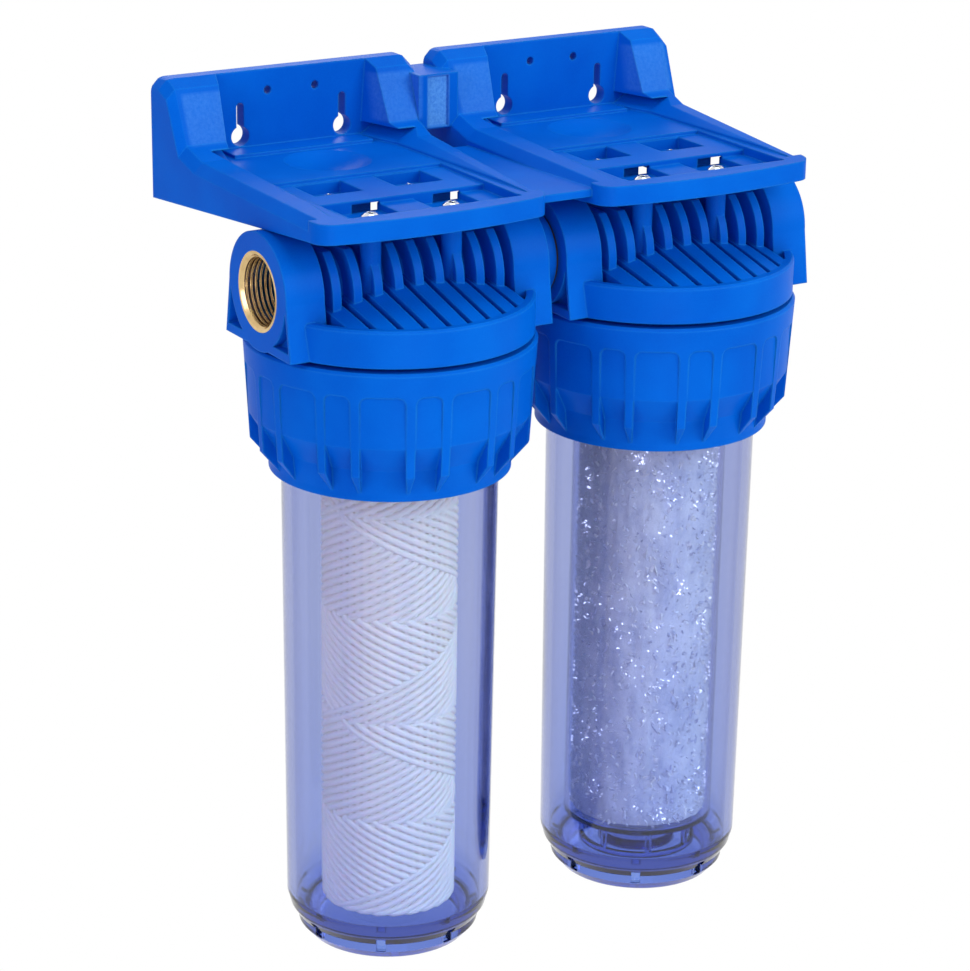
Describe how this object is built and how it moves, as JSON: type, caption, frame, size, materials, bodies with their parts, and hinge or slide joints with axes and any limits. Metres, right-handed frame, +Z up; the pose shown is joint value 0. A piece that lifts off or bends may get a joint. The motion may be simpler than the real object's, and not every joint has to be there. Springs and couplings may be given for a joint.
{
  "type": "duplex water filter",
  "caption": "Two-stage water filter housing on a wall bracket: clear bowls with ring nuts under blue heads, a wound string cartridge and a crystal dosing container.",
  "frame": {"origin": "on the wall face, midway between the two units, level with the hanging ends of the keyholes", "axes": "+Y into the wall, +X along the wall to the right as seen from the room, +Z up along the bowls"},
  "size_m": [0.2762, 0.1659, 0.3945],
  "materials": {
    "blue_plastic": "satin moulded plastic, deep blue, fine grain on the raised pads",
    "brass": "turned brass",
    "screw_steel": "bright plated",
    "seal_rubber": "smooth black rubber",
    "clear_bowl": "clear, polished, faint blue tint",
    "clear_container": "clear, polished",
    "white_core": "matt white",
    "white_string": "wound white yarn",
    "crystals": "clear glassy crystals, loose fill"
  },
  "bodies": {
    "head_group": {"wall_bracket": "blue_plastic", "left_bracket_screws": "screw_steel", "right_bracket_screws": "screw_steel", "left_head": "blue_plastic", "right_head": "blue_plastic", "left_inlet_insert": "brass", "left_outlet_insert": "brass", "right_inlet_insert": "brass", "right_outlet_insert": "brass", "link_nipple": "blue_plastic", "link_washers": "seal_rubber"},
    "left_bowl_group": {"left_bowl": "clear_bowl", "left_bowl_seal": "seal_rubber", "left_cartridge_core": "white_core", "left_string_sleeve": "white_string", "left_string_winding": "white_string", "left_cartridge_gasket": "seal_rubber"},
    "right_bowl_group": {"right_bowl": "clear_bowl", "right_bowl_seal": "seal_rubber", "right_crystal_container": "clear_container", "right_container_cap": "clear_container", "right_container_pipe": "clear_container", "right_container_gasket": "seal_rubber", "right_crystal_charge": "crystals"},
    "left_nut": {"left_ring_nut": "blue_plastic"},
    "right_nut": {"right_ring_nut": "blue_plastic"}
  },
  "joints": [
    {"name": "left_bowl_lower", "type": "slide", "parent": "head_group", "child": "left_bowl_group", "axis": [0, 0, -1], "range_m": [0, 0.018]},
    {"name": "left_nut_turn", "type": "hinge", "parent": "left_bowl_group", "child": "left_nut", "pos_m": [-0.071, -0.1, -0.118], "axis": [0, 0, -1], "range_deg": [0, 1080]},
    {"name": "right_bowl_lower", "type": "slide", "parent": "head_group", "child": "right_bowl_group", "axis": [0, 0, -1], "range_m": [0, 0.018]},
    {"name": "right_nut_turn", "type": "hinge", "parent": "right_bowl_group", "child": "right_nut", "pos_m": [0.071, -0.1, -0.118], "axis": [0, 0, -1], "range_deg": [0, 1080]}
  ],
  "couplings": [
    {"joint": "left_bowl_lower", "follows": "left_nut_turn", "m_per_rad": 0.00095493},
    {"joint": "right_bowl_lower", "follows": "right_nut_turn", "m_per_rad": 0.00095493}
  ]
}
